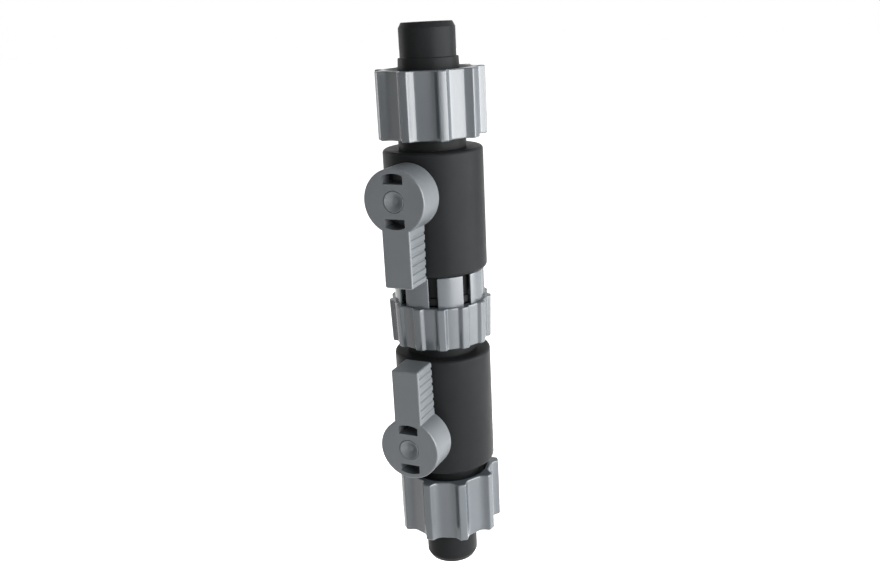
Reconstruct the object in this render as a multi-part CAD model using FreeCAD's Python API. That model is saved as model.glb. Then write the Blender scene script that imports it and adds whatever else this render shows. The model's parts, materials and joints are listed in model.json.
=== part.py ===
# Quick disconnect coupling for a 16/22 mm hose, with a tap in each half.
#
# Lengths are millimetres. +Z runs up the flow axis. The origin lies on that axis,
# halfway along the parallel land of the upper hose tail. Both tap levers face -Y.
# The pose is coupled, with both taps open and the clamp nuts run home.
#
# Each half is drawn in its own tap frame: the origin is the centre of the ball, +Z
# points to the hose and -Z to the union. The lower half is that frame turned over.

import FreeCAD
import Part
import math
import os

from FreeCAD import Vector

# Barrels
barrel_radius = 14.5
barrel_edge_round = 1.0
upper_barrel_length = 35.5
lower_barrel_length = 36.4
upper_ball_to_hose_end = 11.0
lower_ball_to_hose_end = 13.5

# Flow way, ball and seats
flow_bore_radius = 5.5
ball_radius = 8.0
chamber_clearance = 0.6
seat_height = 2.2
seat_clearance = 0.1
seat_back_gap = 0.2
seat_rim_clearance = 0.1
web_thickness = 2.5

# Stem and lever
stem_radius = 3.3
stem_running_clearance = 0.06
stem_flange_radius = 4.6
stem_flange_setback = 0.1
stem_flange_thickness = 1.5
stem_tongue_width = 2.8
stem_tongue_length = 7.0
stem_tongue_depth = 1.6
stem_square = 4.4
stem_square_into_lever = 5.5
stem_boss_radius = 6.5
part_clearance = 0.05
lever_disc_radius = 9.1
lever_front = 26.2
lever_thickness = 9.4
lever_behind_gap = 0.3
lever_reach = 24.3
lever_arm_width = 8.4
lever_tip_thickness = 8.9
lever_edge_round = 0.45
lever_tip_round = 0.6
lever_slot_inner_radius = 4.75
lever_slot_outer_radius = 7.65
lever_slot_width = 6.0
lever_slot_depth = 6.5
grip_groove_count = 6
grip_groove_pitch = 2.4
grip_groove_radius = 0.55
grip_groove_depth = 0.3
grip_end_margin = 1.4
grip_front_margin = 0.7
pin_recess_radius = 3.1
pin_recess_depth = 1.4
pin_head_radius = 2.6
pin_head_height = 1.6
pin_shank_radius = 1.3
pin_shank_length = 5.0

# Round section sealing rings
tail_ring_section_radius = 0.9
stem_ring_section_radius = 0.6
stem_ring_from_flange = 2.0
ring_groove_side_gap = 0.1
ring_clearance = 0.05

# Hose tail
neck_radius = 9.8
plug_clearance = 0.03
tail_radius = 8.0
tail_land_length = 8.0
tail_lead_length = 1.5
tail_lead_drop = 0.8
tail_collar_radius = 8.6
tail_root_radius = 9.2
tail_collar_proud_of_nut = 2.95

# Clamp thread, clamp ring and clamp nut
clamp_thread_root_radius = 11.3
clamp_thread_height = 0.8
clamp_thread_pitch = 2.5
clamp_thread_length = 7.0
clamp_thread_from_nut_face = 1.6
clamp_thread_radial_gap = 0.2
clamp_nut_gap = 3.2
clamp_nut_height = 19.0
clamp_nut_crest_radius = 15.9
clamp_nut_flute_depth = 2.4
clamp_nut_flutes = 9
clamp_nut_land_angle = 8.5
upper_clamp_nut_phase = 28.0
lower_clamp_nut_phase = 31.0
clamp_nut_edge_round = 0.6
clamp_nut_rim_round = 0.4
clamp_nut_hole_radius = 11.35
clamp_nut_mouth_radius = 12.6
clamp_nut_mouth_depth = 1.6
clamp_nut_lip = 4.2
clamp_ring_thickness = 0.95
clamp_ring_height = 5.2
clamp_ring_taper = 0.5
clamp_ring_taper_height = 1.6
clamp_ring_running_clearance = 0.08
clamp_ring_end_gap = 0.3
clamp_ring_split = 2.0

# Union: spigot, socket neck and union nut
union_gap = 3.5
skirt_height = 12.7
finger_height = 9.2
finger_end_gap = 0.3
finger_radius = 13.4
finger_wall = 0.95
finger_count = 8
finger_slot_width = 2.6
finger_slot_phase = 16.5
hook_reach = 0.7
hook_height = 1.6
rib_reach = 0.7
rib_height = 2.2
rib_clearance = 0.2
neck_wall = 1.0
neck_into_nut = 0.3
union_nut_crest_radius = 15.3
union_nut_foot_crest_radius = 14.9
union_nut_rib_height = 1.0
union_nut_ribs = 13
union_nut_land_angle = 6.5
union_nut_flank_angle = 3.5
union_nut_phase = 18.5
union_nut_edge_round = 0.3
union_nut_rim_round = 0.2
spigot_radius = 10.45
spigot_wall = 1.25
spigot_fit_clearance = 0.15
spigot_top_above_finger_base = 8.3
spigot_thread_height = 1.25
spigot_thread_pitch = 2.0
spigot_thread_from_barrel = 3.3
spigot_thread_length = 11.5
spigot_gap_angle = 55.0
spigot_gap_direction = -125.0
union_thread_radial_gap = 0.3
seal_height = 2.5
seal_width = 1.5
seal_rim_clearance = 0.1

# Thread form, shares of the pitch
thread_base_share = 0.56
thread_crest_share = 0.26
thread_sink = 0.25

# Sizes that follow from the ones above
chamber_radius = ball_radius + chamber_clearance
seat_back = math.sqrt(ball_radius ** 2 - flow_bore_radius ** 2) + seat_back_gap
seat_rim_radius = chamber_radius - seat_rim_clearance
lever_back = lever_front - lever_thickness
boss_face = lever_back - lever_behind_gap
flange_inner_face = chamber_radius + stem_flange_setback
flange_outer_face = flange_inner_face + stem_flange_thickness
clamp_thread_crest_radius = clamp_thread_root_radius + clamp_thread_height
clamp_bore_radius = clamp_thread_crest_radius + clamp_thread_radial_gap
clamp_thread_start = clamp_nut_gap + clamp_thread_from_nut_face
clamp_thread_end = clamp_thread_start + clamp_thread_length
clamp_nut_end = clamp_nut_gap + clamp_nut_height
tail_land_start = clamp_nut_end + tail_collar_proud_of_nut
tail_end = tail_land_start + tail_land_length + tail_lead_length
spigot_bore_radius = spigot_radius - spigot_wall
socket_radius = spigot_radius + spigot_fit_clearance
neck_outer_radius = socket_radius + neck_wall
rib_radius = neck_outer_radius + rib_reach
finger_bore_radius = finger_radius - finger_wall
hook_radius = finger_bore_radius - hook_reach
thread_crest_radius = spigot_radius + spigot_thread_height
union_bore_radius = thread_crest_radius + union_thread_radial_gap

# Heights on the flow axis in the part's frame
upper_barrel_top = -(tail_land_start + tail_land_length / 2)
upper_ball_height = upper_barrel_top - upper_ball_to_hose_end
upper_barrel_bottom = upper_barrel_top - upper_barrel_length
finger_top = upper_barrel_bottom - finger_end_gap
skirt_top = upper_barrel_bottom - finger_height
skirt_bottom = skirt_top - skirt_height
lower_barrel_top = skirt_bottom - union_gap
lower_barrel_bottom = lower_barrel_top - lower_barrel_length
lower_ball_height = lower_barrel_bottom + lower_ball_to_hose_end
spigot_top = skirt_top + spigot_top_above_finger_base
seal_top = spigot_top + seal_height
neck_bottom = skirt_top + neck_into_nut

margin = 1.0
up = Vector(0, 0, 1)
front = Vector(0, -1, 0)


def rod(radius, low, high):
    """A solid cylinder on the flow axis between two heights."""
    return Part.makeCylinder(radius, high - low, Vector(0, 0, low))


def cross_rod(radius, near, far):
    """A solid cylinder on the stem axis, between two distances in front of the flow axis."""
    return Part.makeCylinder(radius, far - near, Vector(0, -near, 0), front)


def cross_block(width, height, near, far):
    """A block on the stem axis: width along X, height along Z, distances in front of the axis."""
    corner = Vector(-width / 2, -far, -height / 2)
    return Part.makeBox(width, far - near, height, corner)


def turned(outline):
    """The solid that an outline of (radius, height) points makes when turned round the flow axis."""
    points = [Vector(radius, 0, height) for radius, height in outline]
    points.append(points[0])
    face = Part.Face(Part.makePolygon(points))
    return face.revolve(Vector(0, 0, 0), up, 360)


def tube(inner, outer, low, high):
    """A plain ring or tube on the flow axis."""
    return turned([(inner, low), (outer, low), (outer, high), (inner, high)])


def round_rims(shape, radius, heights, size):
    """Rounds the circular edges of one radius at the given heights."""
    edges = []
    for edge in shape.Edges:
        if not isinstance(edge.Curve, Part.Circle):
            continue
        same_radius = abs(edge.Curve.Radius - radius) < 1e-4
        same_height = min(abs(edge.Curve.Center.z - height) for height in heights) < 1e-4
        if same_radius and same_height:
            edges.append(edge)
    return shape.makeFillet(size, edges)


def around_axis(shape, angle):
    """A copy of a shape turned about the flow axis by an angle in degrees."""
    copy = shape.copy()
    copy.rotate(Vector(0, 0, 0), up, angle)
    return copy


def on_circle(radius, angle, height):
    """The point at an angle in degrees on a circle round the flow axis."""
    turn = math.radians(angle)
    return Vector(radius * math.cos(turn), radius * math.sin(turn), height)


def fluted_wire(crest_radius, depth, flutes, land_angle, phase, height):
    """The outline of a fluted grip: arcs of the crest circle joined by hollow arcs."""
    step = 360.0 / flutes
    edges = []
    for index in range(flutes):
        middle = phase + index * step
        first = on_circle(crest_radius, middle - land_angle / 2, height)
        crest = on_circle(crest_radius, middle, height)
        last = on_circle(crest_radius, middle + land_angle / 2, height)
        hollow = on_circle(crest_radius - depth, middle + step / 2, height)
        following = on_circle(crest_radius, middle + step - land_angle / 2, height)
        edges.append(Part.Arc(first, crest, last).toShape())
        edges.append(Part.Arc(last, hollow, following).toShape())
    return Part.Wire(edges)


def ribbed_wire(crest_radius, rib_height, ribs, land_angle, flank_angle, phase, height):
    """The outline of a ribbed grip: crest arcs and floor arcs joined by straight flanks."""
    step = 360.0 / ribs
    floor_radius = crest_radius - rib_height
    edges = []
    for index in range(ribs):
        middle = phase + index * step
        foot = land_angle / 2 + flank_angle
        first = on_circle(crest_radius, middle - land_angle / 2, height)
        crest = on_circle(crest_radius, middle, height)
        last = on_circle(crest_radius, middle + land_angle / 2, height)
        down = on_circle(floor_radius, middle + foot, height)
        floor = on_circle(floor_radius, middle + step / 2, height)
        rise = on_circle(floor_radius, middle + step - foot, height)
        following = on_circle(crest_radius, middle + step - land_angle / 2, height)
        edges.append(Part.Arc(first, crest, last).toShape())
        edges.append(Part.makeLine(last, down))
        edges.append(Part.Arc(down, floor, rise).toShape())
        edges.append(Part.makeLine(rise, following))
    return Part.Wire(edges)


def round_grip(grip, height, upright_round, rim_round):
    """Rounds a grip's upright edges, and then the rims of its two ends."""
    upright = [edge for edge in grip.Edges if edge.BoundBox.ZLength > height / 2]
    grip = grip.makeFillet(upright_round, upright)
    ends = [edge for edge in grip.Edges if edge.BoundBox.ZLength < 1e-4]
    return grip.makeFillet(rim_round, ends)


def thread_ridge(root_radius, crest_radius, pitch, low, high, crest_height, sink):
    """A right-hand thread ridge. Its crest passes the +X side at crest_height, give or take pitches.

    The ridge is a trapezium carried up a helix. It starts sink deep in its wall, so that it
    joins the wall solidly, and it is trimmed square at both ends. A crest radius under the
    root radius makes the inward ridge of a nut.
    """
    outward = 1.0 if crest_radius > root_radius else -1.0
    turns_below = math.ceil((crest_height - low) / pitch) + 1
    start = crest_height - turns_below * pitch
    height = high - start + pitch
    crest = pitch * thread_crest_share / 2
    flank_rise = (pitch * thread_base_share / 2 - crest) / abs(crest_radius - root_radius)
    base = crest + flank_rise * (abs(crest_radius - root_radius) + sink)
    buried = root_radius - outward * sink
    corners = [
        Vector(buried, 0, -base),
        Vector(crest_radius, 0, -crest),
        Vector(crest_radius, 0, crest),
        Vector(buried, 0, base),
        Vector(buried, 0, -base),
    ]
    spine = Part.makeHelix(pitch, height, root_radius)
    sweep = Part.BRepOffsetAPI.MakePipeShell(spine)
    sweep.setFrenetMode(True)
    sweep.add(Part.makePolygon(corners))
    sweep.build()
    sweep.makeSolid()
    ridge = sweep.shape()
    ridge.translate(Vector(0, 0, start))
    return ridge.common(rod(max(root_radius, crest_radius) + margin, low, high))


def barrel(length, ball_to_hose_end):
    """The bored barrel that both halves share, with its stem boss, in the tap frame."""
    union_end = ball_to_hose_end - length
    solid = rod(barrel_radius, union_end, ball_to_hose_end)
    solid = round_rims(solid, barrel_radius, [union_end, ball_to_hose_end], barrel_edge_round)
    solid = solid.fuse(cross_rod(stem_boss_radius, 0, boss_face))
    hollows = [
        rod(neck_radius + plug_clearance, seat_back, ball_to_hose_end + margin),
        rod(chamber_radius, -seat_back, seat_back),
        rod(flow_bore_radius, union_end - margin, ball_to_hose_end + margin),
        cross_rod(stem_radius + stem_running_clearance, 0, boss_face + margin),
        cross_rod(stem_flange_radius + part_clearance, 0, flange_outer_face + part_clearance),
    ]
    for hollow in hollows:
        solid = solid.cut(hollow)
    return solid


def upper_body():
    """The upper barrel with its passage, seal ledge, and the ribbed neck that carries the nut."""
    solid = lift_upper(barrel(upper_barrel_length, upper_ball_to_hose_end))
    passage_top = upper_ball_height - seat_back - web_thickness
    solid = solid.cut(rod(spigot_bore_radius, upper_barrel_bottom - margin, passage_top))
    solid = solid.cut(rod(socket_radius, upper_barrel_bottom - margin, seal_top))
    neck = turned([
        (socket_radius, upper_barrel_bottom + barrel_edge_round),
        (socket_radius, neck_bottom),
        (rib_radius - rib_reach / 2, neck_bottom),
        (rib_radius, neck_bottom + rib_reach / 2),
        (rib_radius, neck_bottom + rib_height),
        (neck_outer_radius, neck_bottom + rib_height),
        (neck_outer_radius, upper_barrel_bottom + barrel_edge_round),
    ])
    return solid.fuse(neck).removeSplitter()


def lower_body():
    """The lower barrel with its thin-walled spigot and the two threaded sides of the spigot."""
    solid = lift_lower(barrel(lower_barrel_length, lower_ball_to_hose_end))
    passage_bottom = lower_ball_height + seat_back + web_thickness
    spigot = rod(spigot_radius, lower_barrel_top - margin, spigot_top)
    solid = solid.fuse(spigot)
    solid = solid.cut(rod(spigot_bore_radius, passage_bottom, spigot_top + margin))
    low = lower_barrel_top + spigot_thread_from_barrel
    ridge = thread_ridge(spigot_radius, thread_crest_radius, spigot_thread_pitch,
                         low, low + spigot_thread_length, low, thread_sink)
    for side in (0, 180):
        ridge = ridge.cut(around_axis(thread_gap(low), spigot_gap_direction + side))
    return solid.fuse(ridge).removeSplitter()


def thread_gap(low):
    """The wedge, centred on +X, that leaves one side of the spigot smooth."""
    half = math.radians(spigot_gap_angle / 2)
    reach = 2 * thread_crest_radius
    corners = [
        Vector(0, 0, low - margin),
        Vector(reach * math.cos(half), -reach * math.sin(half), low - margin),
        Vector(reach * math.cos(half), reach * math.sin(half), low - margin),
        Vector(0, 0, low - margin),
    ]
    wedge = Part.Face(Part.makePolygon(corners))
    return wedge.extrude(Vector(0, 0, spigot_thread_length + 2 * margin))


def hose_tail(ball_to_hose_end):
    """The end piece in the tap frame: plug, neck, threaded flange and hose tail in one moulding."""
    face = ball_to_hose_end
    solid = turned([
        (flow_bore_radius, seat_back),
        (neck_radius, seat_back),
        (neck_radius, face + clamp_thread_start),
        (clamp_thread_root_radius, face + clamp_thread_start),
        (clamp_thread_root_radius, face + clamp_thread_end),
        (tail_root_radius, face + clamp_thread_end),
        (tail_collar_radius, face + tail_land_start),
        (tail_radius, face + tail_land_start),
        (tail_radius, face + tail_end - tail_lead_length),
        (tail_radius - tail_lead_drop, face + tail_end),
        (flow_bore_radius, face + tail_end),
    ])
    groove_floor = neck_radius - 2 * tail_ring_section_radius
    groove_half = tail_ring_section_radius + ring_groove_side_gap
    middle = tail_ring_height(ball_to_hose_end)
    solid = solid.cut(tube(groove_floor, neck_radius + margin, middle - groove_half, middle + groove_half))
    ridge = thread_ridge(clamp_thread_root_radius, clamp_thread_crest_radius, clamp_thread_pitch,
                         face + clamp_thread_start, face + clamp_thread_end,
                         face + clamp_thread_start, thread_sink)
    return solid.fuse(ridge).removeSplitter()


def tail_ring_height(ball_to_hose_end):
    """The middle of the plug, where its sealing ring sits."""
    return (seat_back + ball_to_hose_end) / 2


def tail_ring(ball_to_hose_end):
    """The round sealing ring in the plug's groove."""
    section = tail_ring_section_radius - ring_clearance / 2
    middle = neck_radius - tail_ring_section_radius
    return Part.makeTorus(middle, section, Vector(0, 0, tail_ring_height(ball_to_hose_end)), up)


def seat(side):
    """A seat ring hollowed to the ball, on the hose side (1) or the union side (-1)."""
    ends = sorted([side * seat_back, side * (seat_back - seat_height)])
    ring = tube(flow_bore_radius, seat_rim_radius, ends[0], ends[1])
    return ring.cut(Part.makeSphere(ball_radius + seat_clearance))


def ball():
    """The ball with its flow bore, and the slot across its front that the stem turns."""
    solid = Part.makeSphere(ball_radius)
    solid = solid.cut(rod(flow_bore_radius, -ball_radius - margin, ball_radius + margin))
    slot_floor = ball_radius - stem_tongue_depth - part_clearance
    slot_height = stem_tongue_width + 2 * part_clearance
    return solid.cut(cross_block(2 * ball_radius, slot_height, slot_floor, ball_radius + margin))


def stem():
    """The stem: tongue, flange, shaft with its ring groove, and the square end for the lever."""
    tongue = cross_block(stem_tongue_length, stem_tongue_width,
                         ball_radius - stem_tongue_depth, flange_outer_face)
    solid = tongue.fuse(cross_rod(stem_flange_radius, flange_inner_face, flange_outer_face))
    solid = solid.fuse(cross_rod(stem_radius, flange_inner_face, lever_back))
    square_end = lever_back + stem_square_into_lever
    solid = solid.fuse(cross_block(stem_square, stem_square, lever_back - margin, square_end))
    groove_floor = stem_radius - 2 * stem_ring_section_radius
    groove_half = stem_ring_section_radius + ring_groove_side_gap
    middle = flange_outer_face + stem_ring_from_flange
    groove = cross_rod(stem_radius + margin, middle - groove_half, middle + groove_half)
    solid = solid.cut(groove.cut(cross_rod(groove_floor, 0, lever_front)))
    pin_hole_floor = pin_seat() - pin_shank_length - margin
    pin_hole = cross_rod(pin_shank_radius + plug_clearance, pin_hole_floor, lever_front)
    return solid.cut(pin_hole).removeSplitter()


def stem_ring():
    """The round sealing ring on the stem."""
    section = stem_ring_section_radius - ring_clearance / 2
    middle = stem_radius - stem_ring_section_radius
    centre = Vector(0, -flange_outer_face - stem_ring_from_flange, 0)
    return Part.makeTorus(middle, section, centre, front)


def pin_seat():
    """How far the floor of the lever's centre recess stands in front of the flow axis."""
    return lever_front - pin_recess_depth


def lever_pin():
    """The domed pin that holds the lever on the stem."""
    rise = pin_head_height
    dome_radius = (pin_head_radius ** 2 + rise ** 2) / (2 * rise)
    dome = Part.makeSphere(dome_radius, Vector(0, -(pin_seat() + rise - dome_radius), 0))
    head = cross_rod(pin_head_radius, pin_seat(), pin_seat() + rise).common(dome)
    return head.fuse(cross_rod(pin_shank_radius, pin_seat() - pin_shank_length, pin_seat()))


def lever():
    """The tap lever: a round boss with one flat arm that points to the union when the tap is open."""
    boss = cross_rod(lever_disc_radius, lever_back, lever_front)
    corner = Vector(-lever_arm_width / 2, -lever_front, -lever_reach)
    arm = Part.makeBox(lever_arm_width, lever_thickness, lever_reach, corner)
    solid = boss.fuse(relieve_arm(round_tip(arm))).removeSplitter()
    solid = solid.makeFillet(lever_edge_round, front_outline(solid))
    solid = cut_grip(solid)
    for side in (1, -1):
        solid = solid.cut(lever_slot(side))
    solid = solid.cut(cross_rod(pin_recess_radius, pin_seat(), lever_front + margin))
    solid = solid.cut(cross_rod(pin_shank_radius + plug_clearance, lever_back, lever_front))
    square = stem_square + 2 * part_clearance
    square_end = lever_back + stem_square_into_lever + part_clearance
    return solid.cut(cross_block(square, square, lever_back - margin, square_end))


def round_tip(arm):
    """Rounds the two corners of the arm's tip that run along the stem axis."""
    edges = []
    for edge in arm.Edges:
        middle = edge.CenterOfMass
        along_stem = edge.BoundBox.YLength > lever_thickness / 2
        if along_stem and middle.z < -lever_reach / 2:
            edges.append(edge)
    return arm.makeFillet(lever_tip_round, edges)


def relieve_arm(arm):
    """Slopes the back of the arm, so that it thins towards its tip."""
    root = -lever_disc_radius
    tip_back = -(lever_front - lever_tip_thickness)
    corners = [
        Vector(-lever_arm_width, -lever_back, root),
        Vector(-lever_arm_width, tip_back, -lever_reach),
        Vector(-lever_arm_width, tip_back, -lever_reach - margin),
        Vector(-lever_arm_width, -lever_back + margin, -lever_reach - margin),
        Vector(-lever_arm_width, -lever_back + margin, root),
        Vector(-lever_arm_width, -lever_back, root),
    ]
    wedge = Part.Face(Part.makePolygon(corners)).extrude(Vector(2 * lever_arm_width, 0, 0))
    return arm.cut(wedge)


def front_outline(shape):
    """The edges round the lever's front face."""
    return [edge for edge in shape.Edges
            if edge.BoundBox.YLength < 1e-4 and abs(edge.CenterOfMass.y + lever_front) < 1e-4]


def cut_grip(solid):
    """Cuts the finger grooves into both narrow sides of the arm, short of its front face."""
    offset = lever_arm_width / 2 + grip_groove_radius - grip_groove_depth
    length = lever_thickness - grip_front_margin + margin
    for index in range(grip_groove_count):
        height = -lever_reach + lever_tip_round + grip_end_margin + index * grip_groove_pitch
        for side in (1, -1):
            start = Vector(side * offset, -lever_back + margin, height)
            groove = Part.makeCylinder(grip_groove_radius, length, start, front)
            solid = solid.cut(groove)
    return solid


def lever_slot(side):
    """One arched slot in the lever's face, above (1) or below (-1) its centre."""
    floor = lever_front - lever_slot_depth
    arch = cross_rod(lever_slot_outer_radius, floor, lever_front + margin)
    block = cross_block(lever_slot_width, lever_slot_outer_radius, floor, lever_front + margin)
    block.translate(Vector(0, 0, side * (lever_slot_inner_radius + lever_slot_outer_radius / 2)))
    return arch.common(block)


def clamp_nut(ball_to_hose_end, phase):
    """The fluted nut that squeezes the hose on its tail, with its inner thread."""
    low = ball_to_hose_end + clamp_nut_gap
    high = ball_to_hose_end + clamp_nut_end
    outline = fluted_wire(clamp_nut_crest_radius, clamp_nut_flute_depth, clamp_nut_flutes,
                          clamp_nut_land_angle, phase, low)
    grip = Part.Face(outline).extrude(Vector(0, 0, clamp_nut_height))
    grip = round_grip(grip, clamp_nut_height, clamp_nut_edge_round, clamp_nut_rim_round)
    lip = high - clamp_nut_lip
    hollow = turned([
        (0, low - margin),
        (clamp_bore_radius, low - margin),
        (clamp_bore_radius, lip),
        (clamp_nut_hole_radius, lip + clamp_ring_taper_height),
        (clamp_nut_hole_radius, high - clamp_nut_mouth_depth),
        (clamp_nut_mouth_radius, high),
        (clamp_nut_mouth_radius, high + margin),
        (0, high + margin),
    ])
    ridge = thread_ridge(clamp_bore_radius, clamp_thread_root_radius + clamp_thread_radial_gap,
                         clamp_thread_pitch, low + clamp_thread_from_nut_face / 2,
                         ball_to_hose_end + clamp_thread_end,
                         ball_to_hose_end + clamp_thread_start + clamp_thread_pitch / 2, thread_sink)
    return grip.cut(hollow).fuse(ridge).removeSplitter()


def clamp_ring(ball_to_hose_end):
    """The split ring between nut and hose, tapered where the nut bears on it."""
    outer = clamp_bore_radius - clamp_ring_running_clearance
    inner = outer - clamp_ring_thickness
    high = ball_to_hose_end + clamp_nut_end - clamp_nut_lip - clamp_ring_end_gap
    low = high - clamp_ring_height
    ring = turned([
        (inner, low),
        (outer, low),
        (outer, high - clamp_ring_taper_height),
        (outer - clamp_ring_taper, high),
        (inner, high),
    ])
    corner = Vector(0, -clamp_ring_split / 2, low - margin)
    return ring.cut(Part.makeBox(2 * outer, clamp_ring_split, clamp_ring_height + 2 * margin, corner))


def union_nut():
    """The captive union nut: a ribbed, threaded skirt under a crown of spring fingers."""
    foot = ribbed_wire(union_nut_foot_crest_radius, union_nut_rib_height, union_nut_ribs,
                       union_nut_land_angle, union_nut_flank_angle, union_nut_phase, skirt_bottom)
    head = ribbed_wire(union_nut_crest_radius, union_nut_rib_height, union_nut_ribs,
                       union_nut_land_angle, union_nut_flank_angle, union_nut_phase, skirt_top)
    skirt = Part.makeLoft([foot, head], True, True)
    skirt = round_grip(skirt, skirt_height, union_nut_edge_round, union_nut_rim_round)
    crown = turned([
        (union_bore_radius, skirt_top - margin),
        (finger_radius, skirt_top - margin),
        (finger_radius, finger_top),
        (finger_bore_radius, finger_top),
        (finger_bore_radius, hook_foot() + hook_height),
        (hook_radius, hook_foot() + hook_height - hook_reach),
        (hook_radius, hook_foot()),
        (finger_bore_radius, hook_foot()),
        (finger_bore_radius, skirt_top),
        (union_bore_radius, skirt_top),
    ])
    solid = skirt.cut(rod(union_bore_radius, skirt_bottom - margin, skirt_top + margin))
    solid = solid.fuse(crown.cut(finger_slots()))
    half_pitch = spigot_thread_pitch / 2
    between_crests = lower_barrel_top + spigot_thread_from_barrel + half_pitch
    ridge = thread_ridge(union_bore_radius, spigot_radius + union_thread_radial_gap, spigot_thread_pitch,
                         skirt_bottom + half_pitch, skirt_top - half_pitch, between_crests, thread_sink)
    return solid.fuse(ridge)


def hook_foot():
    """The height of the finger hooks' lower faces, just above the neck's rib."""
    return neck_bottom + rib_height + rib_clearance


def finger_slots():
    """The slots that part the crown into fingers."""
    slots = []
    for index in range(finger_count):
        corner = Vector(0, -finger_slot_width / 2, skirt_top)
        slot = Part.makeBox(finger_radius + margin, finger_slot_width, finger_height + margin, corner)
        slots.append(around_axis(slot, finger_slot_phase + index * 360.0 / finger_count))
    return Part.makeCompound(slots)


def coupling_seal():
    """The flat ring in the socket that the spigot's end presses on."""
    outer = socket_radius - seal_rim_clearance
    return tube(outer - seal_width, outer, spigot_top, seal_top)


def lift_upper(shape):
    """Moves a shape from the tap frame to the upper half."""
    copy = shape.copy()
    copy.translate(Vector(0, 0, upper_ball_height))
    return copy


def lift_lower(shape):
    """Turns a shape from the tap frame upside down about the stem axis, for the lower half."""
    copy = shape.copy()
    copy.rotate(Vector(0, 0, 0), Vector(0, 1, 0), 180)
    copy.translate(Vector(0, 0, lower_ball_height))
    return copy


def half_pieces(ball_to_hose_end, clamp_nut_phase):
    """The pieces of one half that are alike in both, in the tap frame."""
    return {
        "hose_tail": hose_tail(ball_to_hose_end),
        "tail_sealing_ring": tail_ring(ball_to_hose_end),
        "hose_side_seat": seat(1),
        "union_side_seat": seat(-1),
        "tap_ball": ball(),
        "tap_stem": stem(),
        "stem_sealing_ring": stem_ring(),
        "tap_lever": lever(),
        "lever_pin": lever_pin(),
        "clamp_ring": clamp_ring(ball_to_hose_end),
        "clamp_nut": clamp_nut(ball_to_hose_end, clamp_nut_phase),
    }


def coupling():
    """Every piece of the coupling, by name."""
    pieces = {
        "upper_body": upper_body(),
        "lower_body": lower_body(),
        "union_nut": union_nut(),
        "coupling_seal": coupling_seal(),
    }
    for name, shape in half_pieces(upper_ball_to_hose_end, upper_clamp_nut_phase).items():
        pieces["upper_" + name] = lift_upper(shape)
    for name, shape in half_pieces(lower_ball_to_hose_end, lower_clamp_nut_phase).items():
        pieces["lower_" + name] = lift_lower(shape)
    return pieces


os.makedirs("parts", exist_ok=True)
for name, shape in coupling().items():
    if len(shape.Solids) == 1:
        shape = shape.Solids[0]
    print(name, "solids", len(shape.Solids), "valid", shape.isValid(), "volume", round(shape.Volume, 1))
    shape.exportStep("parts/" + name + ".step")
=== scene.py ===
# %% [markdown]
# # A coupling with two taps, dressed for the camera
#
# The solids of the coupling come ready made: barrels, nuts, levers and the pieces
# inside them. This file gives them their finish, makes the nuts, the tails and the
# lever pins again as smooth surfaces, and sets up the light and the camera.
# The scene is in metres, and shapes are worked out in millimetres. +Z runs up the
# flow axis of the coupling.

import bpy
import json
import math
import numpy as np
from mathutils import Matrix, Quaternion, Vector


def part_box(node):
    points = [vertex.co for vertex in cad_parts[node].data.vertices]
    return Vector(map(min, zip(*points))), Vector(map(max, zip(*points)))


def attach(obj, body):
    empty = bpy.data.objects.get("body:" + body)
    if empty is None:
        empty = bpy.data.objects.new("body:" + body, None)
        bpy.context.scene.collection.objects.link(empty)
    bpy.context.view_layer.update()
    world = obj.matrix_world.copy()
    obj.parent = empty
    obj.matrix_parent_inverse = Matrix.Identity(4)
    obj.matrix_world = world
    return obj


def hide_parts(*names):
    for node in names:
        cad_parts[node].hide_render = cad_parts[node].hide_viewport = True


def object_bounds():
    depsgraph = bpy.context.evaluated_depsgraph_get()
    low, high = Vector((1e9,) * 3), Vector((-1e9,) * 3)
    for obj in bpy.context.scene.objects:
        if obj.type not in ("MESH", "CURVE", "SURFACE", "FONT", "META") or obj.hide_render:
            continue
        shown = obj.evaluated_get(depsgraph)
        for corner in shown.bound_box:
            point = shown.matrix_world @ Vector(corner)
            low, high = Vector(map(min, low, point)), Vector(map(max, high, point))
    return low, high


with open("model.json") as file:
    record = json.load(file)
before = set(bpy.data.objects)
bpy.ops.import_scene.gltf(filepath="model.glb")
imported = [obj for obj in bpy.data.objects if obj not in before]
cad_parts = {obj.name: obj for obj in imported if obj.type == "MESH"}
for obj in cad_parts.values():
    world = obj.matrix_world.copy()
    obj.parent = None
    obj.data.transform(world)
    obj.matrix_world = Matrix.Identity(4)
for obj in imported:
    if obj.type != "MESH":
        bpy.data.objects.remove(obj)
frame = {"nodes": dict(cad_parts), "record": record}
cad_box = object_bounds()
nodes = frame["nodes"]
mm = 0.001
print("pieces in the frame:", len(nodes))
print("height of the coupling in mm:", round((cad_box[1].z - cad_box[0].z) / mm, 1))

# %% [markdown]
# ## The camera
#
# The photograph was taken from a little above the upper nut, from the right of the
# levers, and close by, so the barrels narrow towards the bottom. A camera has to
# stand at that same spot to see the same sides of everything. Only its aim and its
# lens change here: it looks at the middle of the coupling through a longer lens, so
# that the coupling fills the picture. In the photograph the coupling leans a few
# degrees, because it hangs left of the middle, and a small roll repeats that.

# %% Stand the camera where the photographer stood
camera_spot = Vector((0.1160, -0.2455, 0.0083))
camera_aim = Vector((0.0, 0.0, -0.0735))
camera_lean = math.radians(-2.9)
lens_mm = 38.5

camera = bpy.data.objects.new("camera", bpy.data.cameras.new("camera"))
bpy.context.scene.collection.objects.link(camera)
bpy.context.scene.camera = camera
camera.data.lens = lens_mm
camera.data.sensor_width = 36.0
camera.data.clip_start = 0.01
camera.location = camera_spot
looking = (camera_aim - camera_spot).to_track_quat("-Z", "Y")
camera.rotation_mode = "QUATERNION"
camera.rotation_quaternion = looking @ Quaternion((0, 0, 1), camera_lean)
print("camera distance in mm:", round((camera_aim - camera_spot).length / mm, 1))

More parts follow.
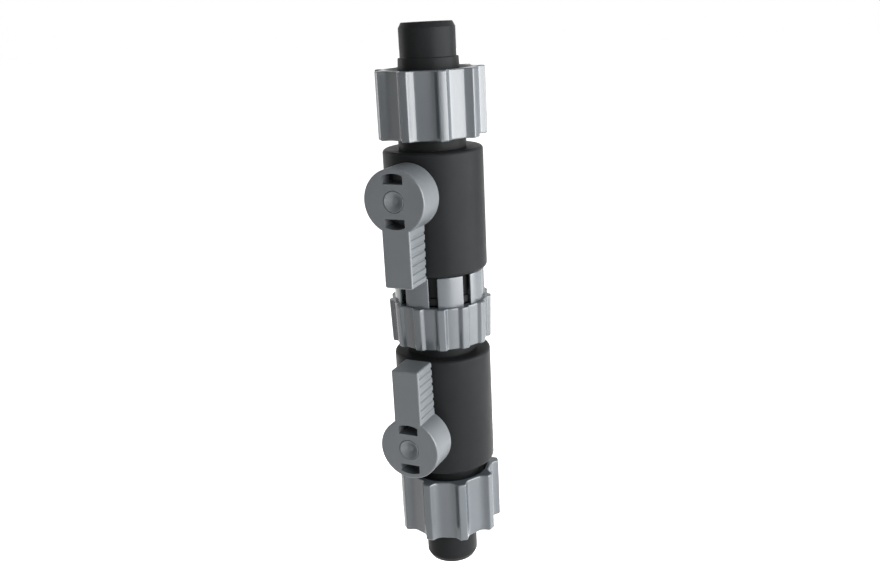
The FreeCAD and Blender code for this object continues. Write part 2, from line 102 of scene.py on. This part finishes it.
# %% [markdown]
# ## The studio
#
# The photograph has a plain white ground and one broad soft light on the right. That
# light draws the white stripe down the upper clamp nut and brightens the right-hand
# side of each lever, while the faces that look at the camera stay half dark. A large
# area lamp straight to the right gives the same stripe. A weak one in front keeps the
# faces of the levers readable, and one on the left draws a fine line beside the left
# edges and lights the sides that the camera doesn't see. The ground is white only to
# the camera and in reflections, so the lamps don't have to be turned up for it.

# %% Shader helpers
def new_material(name):
    """An empty node material and its node tree."""
    material = bpy.data.materials.new(name)
    material.use_nodes = True
    material.node_tree.nodes.clear()
    return material, material.node_tree


def add_node(tree, kind, **settings):
    """Adds a shader node and sets its properties."""
    node = tree.nodes.new(kind)
    for key, value in settings.items():
        setattr(node, key, value)
    return node


def seen_directly(tree):
    """A socket that is 1 for rays from the camera, a reflection or a clear piece, and 0 for other light."""
    path = add_node(tree, "ShaderNodeLightPath")
    first = add_node(tree, "ShaderNodeMath", operation="MAXIMUM")
    second = add_node(tree, "ShaderNodeMath", operation="MAXIMUM")
    tree.links.new(path.outputs["Is Camera Ray"], first.inputs[0])
    tree.links.new(path.outputs["Is Glossy Ray"], first.inputs[1])
    tree.links.new(first.outputs[0], second.inputs[0])
    tree.links.new(path.outputs["Is Transmission Ray"], second.inputs[1])
    return second.outputs[0]


# %% White surroundings
fill_level = 0.26
fill_colour = (0.97, 0.985, 1.0, 1.0)
plain_white = (1.0, 1.0, 1.0, 1.0)

world = bpy.data.worlds.new("studio")
bpy.context.scene.world = world
world.use_nodes = True
tree = world.node_tree
tree.nodes.clear()
white = add_node(tree, "ShaderNodeBackground")
white.inputs["Color"].default_value = plain_white
white.inputs["Strength"].default_value = 1.0
fill = add_node(tree, "ShaderNodeBackground")
fill.inputs["Color"].default_value = fill_colour
fill.inputs["Strength"].default_value = fill_level
choose = add_node(tree, "ShaderNodeMixShader")
out = add_node(tree, "ShaderNodeOutputWorld")
tree.links.new(seen_directly(tree), choose.inputs["Fac"])
tree.links.new(fill.outputs[0], choose.inputs[1])
tree.links.new(white.outputs[0], choose.inputs[2])
tree.links.new(choose.outputs[0], out.inputs["Surface"])
bpy.context.scene.view_settings.view_transform = "Standard"
print("fill level:", fill_level)


# %% Lamps
def lamp(name, azimuth, elevation, distance, width, height, power):
    """A rectangular lamp that shines on the middle of the coupling.

    Azimuth is counted from straight in front of the levers towards the right, and
    elevation above the horizon, both in degrees. Distance, width and height are in
    metres, and the power is in watts.
    """
    turn, rise = math.radians(azimuth), math.radians(elevation)
    away = Vector((math.sin(turn) * math.cos(rise), -math.cos(turn) * math.cos(rise), math.sin(rise)))
    data = bpy.data.lights.new(name, "AREA")
    data.shape = "RECTANGLE"
    data.size, data.size_y = width, height
    data.energy = power
    thing = bpy.data.objects.new(name, data)
    bpy.context.scene.collection.objects.link(thing)
    thing.location = camera_aim + away * distance
    thing.rotation_mode = "QUATERNION"
    thing.rotation_quaternion = (-away).to_track_quat("-Z", "Y")
    print(name, "radiance:", round(power / (math.pi * width * height), 2))


lamp("right_softbox", azimuth=88.0, elevation=8.0, distance=0.55, width=0.84, height=0.50, power=12.6)
lamp("front_softbox", azimuth=0.0, elevation=14.0, distance=0.80, width=0.50, height=0.40, power=0.5)
lamp("left_softbox", azimuth=-98.0, elevation=12.0, distance=0.80, width=0.30, height=0.50, power=1.2)

# %% [markdown]
# ## The floor
#
# The coupling hangs free, so nothing of it touches the floor. A pale floor lies a
# hand's breadth below it. Its colour is nearly white, and a glow of its own, for the
# camera and for reflections only, lifts it to the white of the surroundings. The
# photograph's ground is as white, so no shadow shows on it here either.

# %% Pale floor
floor_drop = 0.09
floor_half = 6.0
floor_colour = (0.86, 0.86, 0.86, 1.0)
floor_roughness = 0.9
floor_specular = 0.1
floor_height = cad_box[0].z - floor_drop

floor_mesh = bpy.data.meshes.new("floor")
corners = np.array([(-1, -1, 0), (1, -1, 0), (1, 1, 0), (-1, 1, 0)], float) * floor_half
corners[:, 2] = floor_height
floor_mesh.from_pydata(corners.tolist(), [], [(0, 1, 2, 3)])
floor = bpy.data.objects.new("floor", floor_mesh)
bpy.context.scene.collection.objects.link(floor)
material, tree = new_material("pale_floor")
paint = add_node(tree, "ShaderNodeBsdfPrincipled")
paint.inputs["Base Color"].default_value = floor_colour
paint.inputs["Roughness"].default_value = floor_roughness
paint.inputs["Specular IOR Level"].default_value = floor_specular
glow = add_node(tree, "ShaderNodeEmission")
glow.inputs["Color"].default_value = plain_white
both = add_node(tree, "ShaderNodeAddShader")
out = add_node(tree, "ShaderNodeOutputMaterial")
tree.links.new(seen_directly(tree), glow.inputs["Strength"])
tree.links.new(paint.outputs[0], both.inputs[0])
tree.links.new(glow.outputs[0], both.inputs[1])
tree.links.new(both.outputs[0], out.inputs["Surface"])
floor_mesh.materials.append(material)
print("floor height in mm:", round(floor_height / mm, 1))

# %% [markdown]
# ## Moulded plastic
#
# Everything that shows is injection moulded. Such plastic is never quite even: the
# mould leaves a fine grain, the flow of the melt leaves slow waves of shade and
# gloss, and handling polishes it unevenly. One function makes that finish from
# three noises in the piece's own coordinates: a slow one shifts the shade, a middle
# one shifts the gloss, and a fine one raises the grain as bump. The black barrels,
# the grey nuts and the pieces inside differ only in the numbers. The levers are
# about twice as rough as the nuts, so they look satin where the nuts shine.

# %% A moulded plastic
shade_waves_in_metre = 90.0
gloss_waves_in_metre = 260.0
noise_low, noise_high = 0.3, 0.7
bump_strength = 0.6


def moulded_plastic(name, colour, shade_spread, roughness, gloss_spread, grain, grain_height, specular):
    """A plastic with slow changes of shade, patches of gloss and a fine grain.

    shade_spread is the share by which the shade goes up and down, gloss_spread the
    same in roughness, grain the number of grains in a millimetre, and grain_height
    their height in millimetres.
    """
    material, tree = new_material(name)
    place = add_node(tree, "ShaderNodeTexCoord")
    shader = add_node(tree, "ShaderNodeBsdfPrincipled")
    shader.inputs["Specular IOR Level"].default_value = specular
    out = add_node(tree, "ShaderNodeOutputMaterial")
    tree.links.new(shader.outputs[0], out.inputs["Surface"])

    def noise(per_metre, detail):
        node = add_node(tree, "ShaderNodeTexNoise")
        node.inputs["Scale"].default_value = per_metre
        node.inputs["Detail"].default_value = detail
        tree.links.new(place.outputs["Object"], node.inputs["Vector"])
        return node.outputs["Fac"]

    def spread(fac, low, high):
        node = add_node(tree, "ShaderNodeMapRange")
        node.inputs["From Min"].default_value = noise_low
        node.inputs["From Max"].default_value = noise_high
        node.inputs["To Min"].default_value = low
        node.inputs["To Max"].default_value = high
        tree.links.new(fac, node.inputs["Value"])
        return node.outputs["Result"]

    shade = add_node(tree, "ShaderNodeMix", data_type="RGBA")
    shade.inputs[6].default_value = tuple(c * (1 - shade_spread) for c in colour) + (1.0,)
    shade.inputs[7].default_value = tuple(c * (1 + shade_spread) for c in colour) + (1.0,)
    tree.links.new(spread(noise(shade_waves_in_metre, detail=3.0), 0.0, 1.0), shade.inputs[0])
    tree.links.new(shade.outputs[2], shader.inputs["Base Color"])
    waves = noise(gloss_waves_in_metre, detail=2.0)
    gloss = spread(waves, roughness - gloss_spread, roughness + gloss_spread)
    tree.links.new(gloss, shader.inputs["Roughness"])
    bump = add_node(tree, "ShaderNodeBump")
    bump.inputs["Strength"].default_value = bump_strength
    bump.inputs["Distance"].default_value = grain_height * mm
    tree.links.new(noise(grain / mm, detail=2.0), bump.inputs["Height"])
    tree.links.new(bump.outputs[0], shader.inputs["Normal"])
    print(name, "made")
    return material


# %% The plastics and the rubber
black_plastic = moulded_plastic(
    "black_moulding", (0.0105, 0.011, 0.0115), shade_spread=0.08, roughness=0.40,
    gloss_spread=0.03, grain=3.5, grain_height=0.008, specular=0.045)
grey_plastic = moulded_plastic(
    "grey_moulding", (0.056, 0.065, 0.073), shade_spread=0.04, roughness=0.20,
    gloss_spread=0.02, grain=2.5, grain_height=0.004, specular=0.6)
lever_plastic = moulded_plastic(
    "lever_moulding", (0.066, 0.074, 0.080), shade_spread=0.06, roughness=0.42,
    gloss_spread=0.04, grain=2.0, grain_height=0.010, specular=0.6)
white_plastic = moulded_plastic(
    "seat_moulding", (0.80, 0.80, 0.78), shade_spread=0.03, roughness=0.35,
    gloss_spread=0.05, grain=2.0, grain_height=0.01, specular=0.4)
ball_plastic = moulded_plastic(
    "ball_moulding", (0.68, 0.69, 0.70), shade_spread=0.03, roughness=0.18,
    gloss_spread=0.04, grain=2.0, grain_height=0.005, specular=0.5)
seal_rubber = moulded_plastic(
    "sealing_rubber", (0.022, 0.022, 0.022), shade_spread=0.10, roughness=0.60,
    gloss_spread=0.08, grain=4.0, grain_height=0.02, specular=0.3)

# %% [markdown]
# ## Smooth shading for the ready made solids
#
# The solids arrive as loose triangles, so each round wall would show its facets.
# Three modifiers cure that without touching a mesh: the first welds the corners
# that lie together, the second smooths every edge between faces that meet at a small
# angle and keeps the others sharp, and the third lets the large faces steer the
# shading, so that flat walls stay flat beside their rounded edges.

# %% Weld and smooth
smooth_angle = math.radians(28)
weld_distance = 0.002 * mm


def smoothing_group():
    """A geometry node group that shades smooth all edges whose faces meet under the smooth angle."""
    group = bpy.data.node_groups.new("smooth_small_angles", "GeometryNodeTree")
    group.interface.new_socket("Geometry", in_out="INPUT", socket_type="NodeSocketGeometry")
    group.interface.new_socket("Geometry", in_out="OUTPUT", socket_type="NodeSocketGeometry")
    entry = group.nodes.new("NodeGroupInput")
    leave = group.nodes.new("NodeGroupOutput")
    faces = group.nodes.new("GeometryNodeSetShadeSmooth")
    edges = group.nodes.new("GeometryNodeSetShadeSmooth")
    edges.domain = "EDGE"
    angle = group.nodes.new("GeometryNodeInputMeshEdgeAngle")
    small = group.nodes.new("FunctionNodeCompare")
    small.operation = "LESS_THAN"
    small.inputs["B"].default_value = smooth_angle
    links = group.links
    links.new(entry.outputs[0], faces.inputs["Geometry"])
    links.new(faces.outputs[0], edges.inputs["Geometry"])
    links.new(angle.outputs["Unsigned Angle"], small.inputs["A"])
    links.new(small.outputs[0], edges.inputs["Shade Smooth"])
    links.new(edges.outputs[0], leave.inputs[0])
    return group


smooth_small_angles = smoothing_group()


def smooth_solid(thing):
    """Adds the three modifiers to a solid."""
    weld = thing.modifiers.new("weld", "WELD")
    weld.merge_threshold = weld_distance
    smooth = thing.modifiers.new("smooth", "NODES")
    smooth.node_group = smooth_small_angles
    weighted = thing.modifiers.new("weighted", "WEIGHTED_NORMAL")
    weighted.keep_sharp = True


slot_materials = {
    "black_plastic": black_plastic,
    "grey_plastic": grey_plastic,
    "seal_rubber": seal_rubber,
    "seat_plastic": white_plastic,
    "ball_plastic": ball_plastic,
}
for row in frame["record"]["subparts"]:
    thing = nodes[row["node"]]
    thing.data.materials.clear()
    finish = lever_plastic if row["node"].endswith("_tap_lever") else slot_materials[row["material_slot"]]
    thing.data.materials.append(finish)
    smooth_solid(thing)

# %% [markdown]
# ## Surfaces from formulas
#
# The nuts, the tails and the pins are the pieces whose round and fluted walls catch
# the light, so they are made again as smooth surfaces. Each one is a grid of points,
# apart from the fingers of the union nut. One direction of the grid runs round an
# axis, which is the flow axis, or the stem axis for a pin. The other runs along the
# outline of a section. Numpy works out all the radii of a grid at once, so a flute
# or a thread is one formula of the angle and the height.
#
# Each half of the coupling has its own tap frame, with the ball's centre as the
# origin and the tail above it. The lower half is that frame turned over. The values
# in the cells below are in millimetres and degrees.

# %% Measure the frame
def low_high(node):
    """The lowest and highest point of a solid in millimetres."""
    low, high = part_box(node)
    return low.z / mm, high.z / mm


def middle_height(node):
    """The height of a solid's middle in millimetres."""
    return sum(low_high(node)) / 2


ball_heights = {"upper": middle_height("upper_tap_ball"), "lower": middle_height("lower_tap_ball")}
turned_over = {"upper": 1.0, "lower": -1.0}
print("ball heights in mm:", {half: round(height, 2) for half, height in ball_heights.items()})


def in_tap_frame(half, node):
    """The lower and higher end of a solid in its half's tap frame, in millimetres."""
    return sorted((height - ball_heights[half]) * turned_over[half] for height in low_high(node))


def in_half(half, points):
    """Moves points from a half's tap frame to the coupling's frame."""
    way = turned_over[half]
    return points * np.array([way, 1.0, way]) + np.array([0.0, 0.0, ball_heights[half]])


# %% Make a mesh from points and faces
def new_piece(name, points, faces, material):
    """A smooth shaded object from points in millimetres and lists of corners."""
    mesh = bpy.data.meshes.new(name)
    mesh.from_pydata((points * mm).tolist(), [], [list(face) for face in faces])
    mesh.shade_smooth()
    mesh.materials.append(material)
    piece = bpy.data.objects.new(name, mesh)
    bpy.context.scene.collection.objects.link(piece)
    return piece


def grid_faces(rows, columns):
    """The four-cornered faces of a grid that closes on itself both ways."""
    row, column = np.meshgrid(np.arange(rows), np.arange(columns), indexing="ij")
    after, beside = (row + 1) % rows, (column + 1) % columns
    here, next_row = row * columns, after * columns
    corners = [here + column, here + beside, next_row + beside, next_row + column]
    return np.stack(corners, axis=-1).reshape(-1, 4)


def ring_points(radii, heights, angles):
    """Points at the given radii and heights, one row a section point and one column an angle."""
    radii, heights, angles = np.broadcast_arrays(radii, heights, angles)
    return np.stack([radii * np.cos(angles), radii * np.sin(angles), heights], axis=-1).reshape(-1, 3)


def round_angles(count):
    """Evenly spaced angles round the axis, as one row."""
    return np.linspace(0.0, 2 * np.pi, count, endpoint=False)[None, :]


# %% Rounded outlines of a section
def rounded(outline, steps=5):
    """A closed section outline whose corners are rounded by arcs.

    A corner is given by its radius, its height and the size of its rounding, and the
    size 0 leaves it sharp. The arc touches both sides of the corner. With half the
    corner's angle h, it starts size / tan(h) before the corner, and its centre lies
    size / sin(h) from the corner on the halving line. Seen from the centre, the point
    at a share s of the sweep w is (start sin((1 - s) w) + end sin(s w)) / sin(w).
    """
    corners = np.array([corner[:2] for corner in outline], float)
    points = []
    for index, (_, _, size) in enumerate(outline):
        corner = corners[index]
        before = corners[index - 1] - corner
        after = corners[(index + 1) % len(corners)] - corner
        before /= np.linalg.norm(before)
        after /= np.linalg.norm(after)
        if size == 0:
            points.append(corner[None, :])
            continue
        half = math.acos(float(np.clip(before @ after, -1, 1))) / 2
        halving = (before + after) / np.linalg.norm(before + after)
        centre = corner + halving * size / math.sin(half)
        start = corner + before * size / math.tan(half) - centre
        end = corner + after * size / math.tan(half) - centre
        sweep = math.pi - 2 * half
        share = np.linspace(0.0, 1.0, steps + 1)[:, None]
        arc = (start * np.sin((1 - share) * sweep) + end * np.sin(share * sweep)) / math.sin(sweep)
        points.append(centre + arc)
    return np.vstack(points)


def refined(outline, longest):
    """The same closed outline with points added, so that no side is longer than a limit."""
    points = []
    for start, end in zip(outline, np.roll(outline, -1, axis=0)):
        count = max(1, math.ceil(np.linalg.norm(end - start) / longest))
        points.append(start + (end - start) * np.linspace(0.0, 1.0, count, endpoint=False)[:, None])
    return np.vstack(points)


# %% Threads
base_share = 0.56
crest_share = 0.26
thread_run_out = 0.5


def thread(heights, angles, pitch):
    """The height of a right-hand thread between 0 at its root and 1 at its crest.

    The thread's phase is height / pitch - angle / full turn. Round the crest's middle
    the height is 1 for half the crest's share of the pitch, and falls in a straight
    flank to 0 at half the base's share.
    """
    phase = heights / pitch - angles / (2 * np.pi)
    off_crest = np.abs(phase - np.round(phase))
    return np.clip((base_share / 2 - off_crest) / ((base_share - crest_share) / 2), 0.0, 1.0)


def fading(heights, low, high, over):
    """1 between two heights, falling to 0 over a short way inside each end."""
    return np.clip((heights - low) / over, 0.0, 1.0) * np.clip((high - heights) / over, 0.0, 1.0)


print("a thread's crest and base in pitches:", crest_share, base_share)


# %% [markdown]
# ## The clamp nuts
#
# A clamp nut is screwed on the tail's flange, often with wet hands, so it has nine
# deep flutes for the fingers. Between two flutes stands a narrow ridge whose top
# lies on one circle. A flute's floor is flat, so it shines or stays dark as a whole,
# and its walls steepen towards the ridges, which a power of the way from the flute's
# middle gives. Here the flute and the crest circle are two radii at each angle, and
# the smooth smaller one of them is the nut's outline, so that its edges are blunt.

# %% The outline of a fluted nut
nut_crest = 15.9
flute_depth = 2.4
flute_count = 9
land_angle = 8.5
flute_power = 5.0
flute_edge_round = 0.45
nut_rim_round = 0.45
columns_in_flute = 64


def smooth_least(first, second, width):
    """The smaller of two arrays, rounded over where they cross.

    With share = 1/2 + (second - first) / (2 width) held between 0 and 1, it is
    second (1 - share) + first share - width share (1 - share).
    """
    share = np.clip(0.5 + (second - first) / (2 * width), 0.0, 1.0)
    return second * (1 - share) + first * share - width * share * (1 - share)


def fluted_radius(angles, phase):
    """The radius of a fluted outline at each angle.

    The crest circle has radius R, and a flute is d deep and meets the crest circle at
    an angle g to both sides of its middle. At an angle b from the flute's middle the
    flat floor has the radius (R - d) / cos b, and the wall adds to it the rest of the
    way to R at the angle g, times |b / g|^p.
    """
    step = 2 * np.pi / flute_count
    edge = (step - math.radians(land_angle)) / 2
    off = (angles - math.radians(phase)) / step - 0.5
    off = np.abs(off - np.round(off)) * step
    floor_radius = nut_crest - flute_depth
    rest = nut_crest - floor_radius / math.cos(edge)
    hollow = floor_radius / np.cos(off) + rest * (off / edge) ** flute_power
    return smooth_least(np.full_like(hollow, nut_crest), hollow, flute_edge_round)


print("flutes:", flute_count, "each", flute_depth, "mm deep")

# %% Both clamp nuts
clamp_pitch = 2.5
bore_radius = 12.3
bore_crest_radius = 11.5
hole_radius = 11.35
mouth_radius = 12.6
mouth_depth = 1.6
lip_height = 4.2
lip_taper = 1.6
thread_start = 0.8
thread_length = 7.8
crest_offset = 0.35
bore_edge_round = 0.25
mouth_foot_round = 0.2
cone_round = 0.1
nut_step = 0.6
wall_tolerance = 0.01
nut_phases = {"upper": 28.0, "lower": 31.0}


def clamp_nut(half, phase):
    """One clamp nut, with the flutes outside and the thread inside.

    The section's radii are drawn in by the flutes' depth at each angle. Across each
    rim this fades from all of it at the crest's rounding to none at the bore's.
    """
    low, high = in_tap_frame(half, half + "_clamp_nut")
    lip = high - lip_height
    outline = [
        (nut_crest, low, nut_rim_round), (nut_crest, high, nut_rim_round),
        (mouth_radius, high, bore_edge_round), (hole_radius, high - mouth_depth, mouth_foot_round),
        (hole_radius, lip + lip_taper, cone_round), (bore_radius, lip, cone_round),
        (bore_radius, low, bore_edge_round),
    ]
    section = refined(rounded(outline), nut_step)
    angles = round_angles(flute_count * columns_in_flute)
    radius, height = section[:, :1], section[:, 1:]
    rim_inside = np.where(height > lip, mouth_radius, bore_radius) + bore_edge_round
    outside = np.clip((radius - rim_inside) / (nut_crest - nut_rim_round - rim_inside), 0.0, 1.0)
    fluted = radius + outside * (fluted_radius(angles, phase) - nut_crest)
    in_bore = (radius <= bore_radius + wall_tolerance) & (height < lip)
    first = low + thread_start
    ridge = thread(height - low - crest_offset, angles, clamp_pitch)
    ridge = ridge * fading(height, first, first + thread_length, thread_run_out)
    radii = np.where(in_bore, radius - (bore_radius - bore_crest_radius) * ridge, fluted)
    points = in_half(half, ring_points(radii, height, angles))
    return new_piece(half + "_grip", points, grid_faces(len(section), angles.size), grey_plastic)


for half, phase in nut_phases.items():
    node = half + "_clamp_nut"
    piece = clamp_nut(half, phase)
    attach(piece, node)
    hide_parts(node)
    print(node, "faces:", len(piece.data.polygons))

# %% [markdown]
# ## The union nut
#
# The union nut is the joint between the halves. Its skirt has thirteen low ribs with
# almost even floors between them, and it narrows a little towards the foot so that
# it leaves its mould. Above the skirt stands a crown of eight springy fingers that
# snap behind a rib on the upper half, and between them the black neck shows. The
# skirt is one grid like the clamp nuts, and each finger is a small block bent round
# the axis.

# %% The skirt of the union nut
skirt_crest = 15.3
foot_crest = 14.9
rib_height = 1.0
rib_count = 13
rib_land_angle = 6.5
rib_flank_angle = 4.5
rib_phase = 18.5
skirt_rim_round = 0.3
union_pitch = 2.0
union_bore = 12.0
union_bore_crest = 10.75
skirt_height = 12.7
union_crest_offset = 0.8
union_thread_margin = 1.0
union_bore_top_round = 0.1
union_bore_foot_round = 0.2
rim_inside = 13.45
skirt_step = 0.4
columns_in_rib = 48


def ribbed_drop(angles):
    """How far a ribbed outline lies inside its crest circle at each angle.

    The drop is 0 on a rib's land and the rib's height on the floor. Between them the
    share s of the flank that is passed gives s^2 (3 - 2 s) of the rib's height.
    """
    step = 360.0 / rib_count
    off = (np.degrees(angles) - rib_phase) / step
    off = np.abs(off - np.round(off)) * step
    share = np.clip((off - rib_land_angle / 2) / rib_flank_angle, 0.0, 1.0)
    return rib_height * share ** 2 * (3 - 2 * share)


union_foot = low_high("union_nut")[0]
skirt_top = union_foot + skirt_height
outline = [
    (skirt_crest, union_foot, skirt_rim_round), (skirt_crest, skirt_top, skirt_rim_round),
    (union_bore, skirt_top, union_bore_top_round), (union_bore, union_foot, union_bore_foot_round),
]
section = refined(rounded(outline), skirt_step)
radius, height = section[:, :1], section[:, 1:]
angles = round_angles(rib_count * columns_in_rib)
outside = np.clip((radius - rim_inside) / (skirt_crest - skirt_rim_round - rim_inside), 0.0, 1.0)
narrowing = (skirt_crest - foot_crest) * (skirt_top - height) / skirt_height
ribbed = radius - outside * (ribbed_drop(angles) + narrowing)
in_bore = radius <= union_bore + wall_tolerance
ridge = thread(height - union_foot - union_crest_offset, angles, union_pitch)
thread_ends = union_foot + union_thread_margin, skirt_top - union_thread_margin
ridge = ridge * fading(height, *thread_ends, thread_run_out)
radii = np.where(in_bore, radius - (union_bore - union_bore_crest) * ridge, ribbed)
print("skirt points:", radii.size)

# %% The spring fingers
finger_outer = 13.4
finger_inner = 12.45
finger_count = 8
finger_slot_width = 2.6
finger_phase = 16.5
finger_edge_round = 0.22
finger_root = 0.4
across_finger = 25
up_finger = 40
top_round_steps = 5
hook_reach = 0.7
hook_height = 1.6
hook_above_skirt = 2.7
hook_foot = skirt_top + hook_above_skirt
finger_top = low_high("union_nut")[1]


def spring_finger(middle):
    """One finger: a block between two straight slots, with a hook inside and a blunt top.

    A slot is as wide at the bore as at the outside, so at the radius r the finger
    ends half a step less arcsin(half slot / r) from its middle. Near its four upright
    edges the wall thins by e - sqrt(e^2 - x^2), where e is the edge's rounding and x
    the way past the rounding's start. The hook is flat below. Its upper end slopes
    back to the wall, as far outwards as upwards.
    """
    turn = np.linspace(0.0, np.pi / 2, top_round_steps + 1)[1:]
    straight = np.linspace(skirt_top - finger_root, finger_top - finger_edge_round, up_finger)
    level = np.concatenate([straight, finger_top - finger_edge_round * (1 - np.sin(turn))])[:, None]
    inset = np.concatenate([np.zeros(straight.size), finger_edge_round * (1 - np.cos(turn))])[:, None]
    hook = np.clip((hook_foot + hook_height - level) / hook_reach, 0.0, 1.0) * (level >= hook_foot)
    along = np.sin(np.linspace(-np.pi / 2, np.pi / 2, across_finger))[None, :]
    sides, walls = [], []
    for wall, way in ((finger_inner - hook_reach * hook + inset, 1), (finger_outer - inset, -1)):
        reach = np.pi / finger_count - np.arcsin((finger_slot_width / 2 + inset) / wall)
        past = np.abs(along) * reach * wall - reach * wall + finger_edge_round
        past = np.clip(past, 0.0, finger_edge_round)
        blunt = finger_edge_round - np.sqrt(finger_edge_round ** 2 - past ** 2)
        walls.append((wall + way * blunt)[:, ::way])
        sides.append((middle + along * reach)[:, ::way])
    points = ring_points(np.hstack(walls), level, np.hstack(sides))
    loop = 2 * across_finger
    around = grid_faces(level.size, loop)[:-loop, ::-1]
    first = np.arange(across_finger - 1)
    cap = np.stack([first, loop - 1 - first, loop - 2 - first, first + 1], axis=-1)
    return points, np.vstack([around, cap[:, ::-1], cap + (level.size - 1) * loop])


def joined(shells):
    """Several shells of points and faces as one."""
    points, faces, used = [], [], 0
    for shell_points, shell_faces in shells:
        points.append(shell_points)
        faces.append(shell_faces + used)
        used += len(shell_points)
    return np.vstack(points), np.vstack(faces)


shells = [(ring_points(radii, height, angles), grid_faces(len(section), angles.size))]
for index in range(finger_count):
    shells.append(spring_finger(math.radians(finger_phase) + (index + 0.5) * 2 * math.pi / finger_count))
points, faces = joined(shells)
union_grip = new_piece("union_grip", points, faces, grey_plastic)
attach(union_grip, "union_nut")
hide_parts("union_nut")
print("union nut faces:", len(union_grip.data.polygons))

# %% [markdown]
# ## The hose tails
#
# A hose tail is one moulding: a plug with a sealing ring that sits in the barrel, a
# neck that shows in the gap under the clamp nut, a flange with the clamp thread, and
# the tail proper with its chamfered tip. Its section is one closed outline of
# corners, each rounded a little, with the thread added on the flange.

# %% Both hose tails
plug_radius = 9.8
tail_bore = 5.5
flange_radius = 11.3
flange_thread_height = 0.8
flange_start = 4.8
flange_end = 11.8
collar_start = 25.15
root_radius = 9.2
collar_radius = 8.6
tail_radius = 8.0
lead_length = 1.5
lead_drop = 0.8
ring_groove_floor = 8.0
ring_groove_half = 1.0
tail_columns = 256
tail_step = 0.5


def hose_tail(half):
    """One hose tail, from the plug's inner end to the tail's chamfered tip."""
    inner_end, tip = in_tap_frame(half, half + "_hose_tail")
    face = in_tap_frame(half, half + "_body")[1]
    groove = (inner_end + face) / 2
    outline = [
        (tail_bore, inner_end, 0.2), (plug_radius, inner_end, 0.3),
        (plug_radius, groove - ring_groove_half, 0.1), (ring_groove_floor, groove - ring_groove_half, 0.1),
        (ring_groove_floor, groove + ring_groove_half, 0.1), (plug_radius, groove + ring_groove_half, 0.1),
        (plug_radius, face + flange_start, 0.3), (flange_radius, face + flange_start, 0.15),
        (flange_radius, face + flange_end, 0.15), (root_radius, face + flange_end, 0.3),
        (collar_radius, face + collar_start, 0.15), (tail_radius, face + collar_start, 0.15),
        (tail_radius, tip - lead_length, 0.5), (tail_radius - lead_drop, tip, 0.25), (tail_bore, tip, 0.3),
    ]
    section = refined(rounded(outline), tail_step)
    radius, height = section[:, :1], section[:, 1:]
    angles = round_angles(tail_columns)
    on_flange = np.abs(radius - flange_radius) < wall_tolerance
    ridge = thread(height - face - flange_start, angles, clamp_pitch)
    ridge = ridge * fading(height, face + flange_start, face + flange_end, thread_run_out)
    radii = radius + flange_thread_height * on_flange * ridge
    points = in_half(half, ring_points(radii, height, angles))
    return new_piece(half + "_tail", points, grid_faces(len(section), angles.size), black_plastic)


for half in ("upper", "lower"):
    node = half + "_hose_tail"
    piece = hose_tail(half)
    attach(piece, half + "_half")
    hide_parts(node)
    print(node, "faces:", len(piece.data.polygons))

# %% [markdown]
# ## The lever pins
#
# A pin in the middle of each lever holds it on the stem. Its head is a small cup that
# nearly fills the lever's recess, and the light from the right falls on the cup's
# left wall, so it shows as a bright patch. The pin is turned round the stem axis: a
# section from the shank's end, round the head's rim and down a cone into the cup. A
# flat cap closes each end close to the axis.

# %% Both lever pins
pin_head_radius = 2.95
pin_head_height = 1.5
pin_shank_radius = 1.3
pin_seat = 24.8
pin_shank_length = 5.0
pin_rim_width = 0.2
cup_floor_radius = 0.9
cup_floor_height = 0.25
cap_radius = 0.05
pin_columns = 96
pin_round_steps = 8


def lever_pin(half):
    """One lever pin, as rings of points from the shank's end to the middle of the cup."""
    shank_end = pin_seat - pin_shank_length
    cup_floor = pin_seat + cup_floor_height
    top = pin_seat + pin_head_height
    outline = [
        (cap_radius, shank_end, 0), (pin_shank_radius, shank_end, 0.2),
        (pin_shank_radius, pin_seat, 0.1), (pin_head_radius, pin_seat, 0.1),
        (pin_head_radius, top, 0.08), (pin_head_radius - pin_rim_width, top, 0.08),
        (cup_floor_radius, cup_floor, 0.5), (cap_radius, cup_floor, 0),
    ]
    section = rounded(outline, pin_round_steps)
    angles = round_angles(pin_columns)
    rings = ring_points(section[:, :1], section[:, 1:], angles)
    points = np.stack([rings[:, 0], -rings[:, 2], rings[:, 1]], axis=-1)
    columns = angles.size
    walls = grid_faces(len(section), columns)[:-columns]
    ends = [np.arange(columns)[::-1], np.arange(columns) + (len(section) - 1) * columns]
    return new_piece(half + "_pin", in_half(half, points), [*walls, *ends], lever_plastic)


for half in ("upper", "lower"):
    node = half + "_lever_pin"
    piece = lever_pin(half)
    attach(piece, half + "_tap")
    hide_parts(node)
    print(node, "faces:", len(piece.data.polygons))
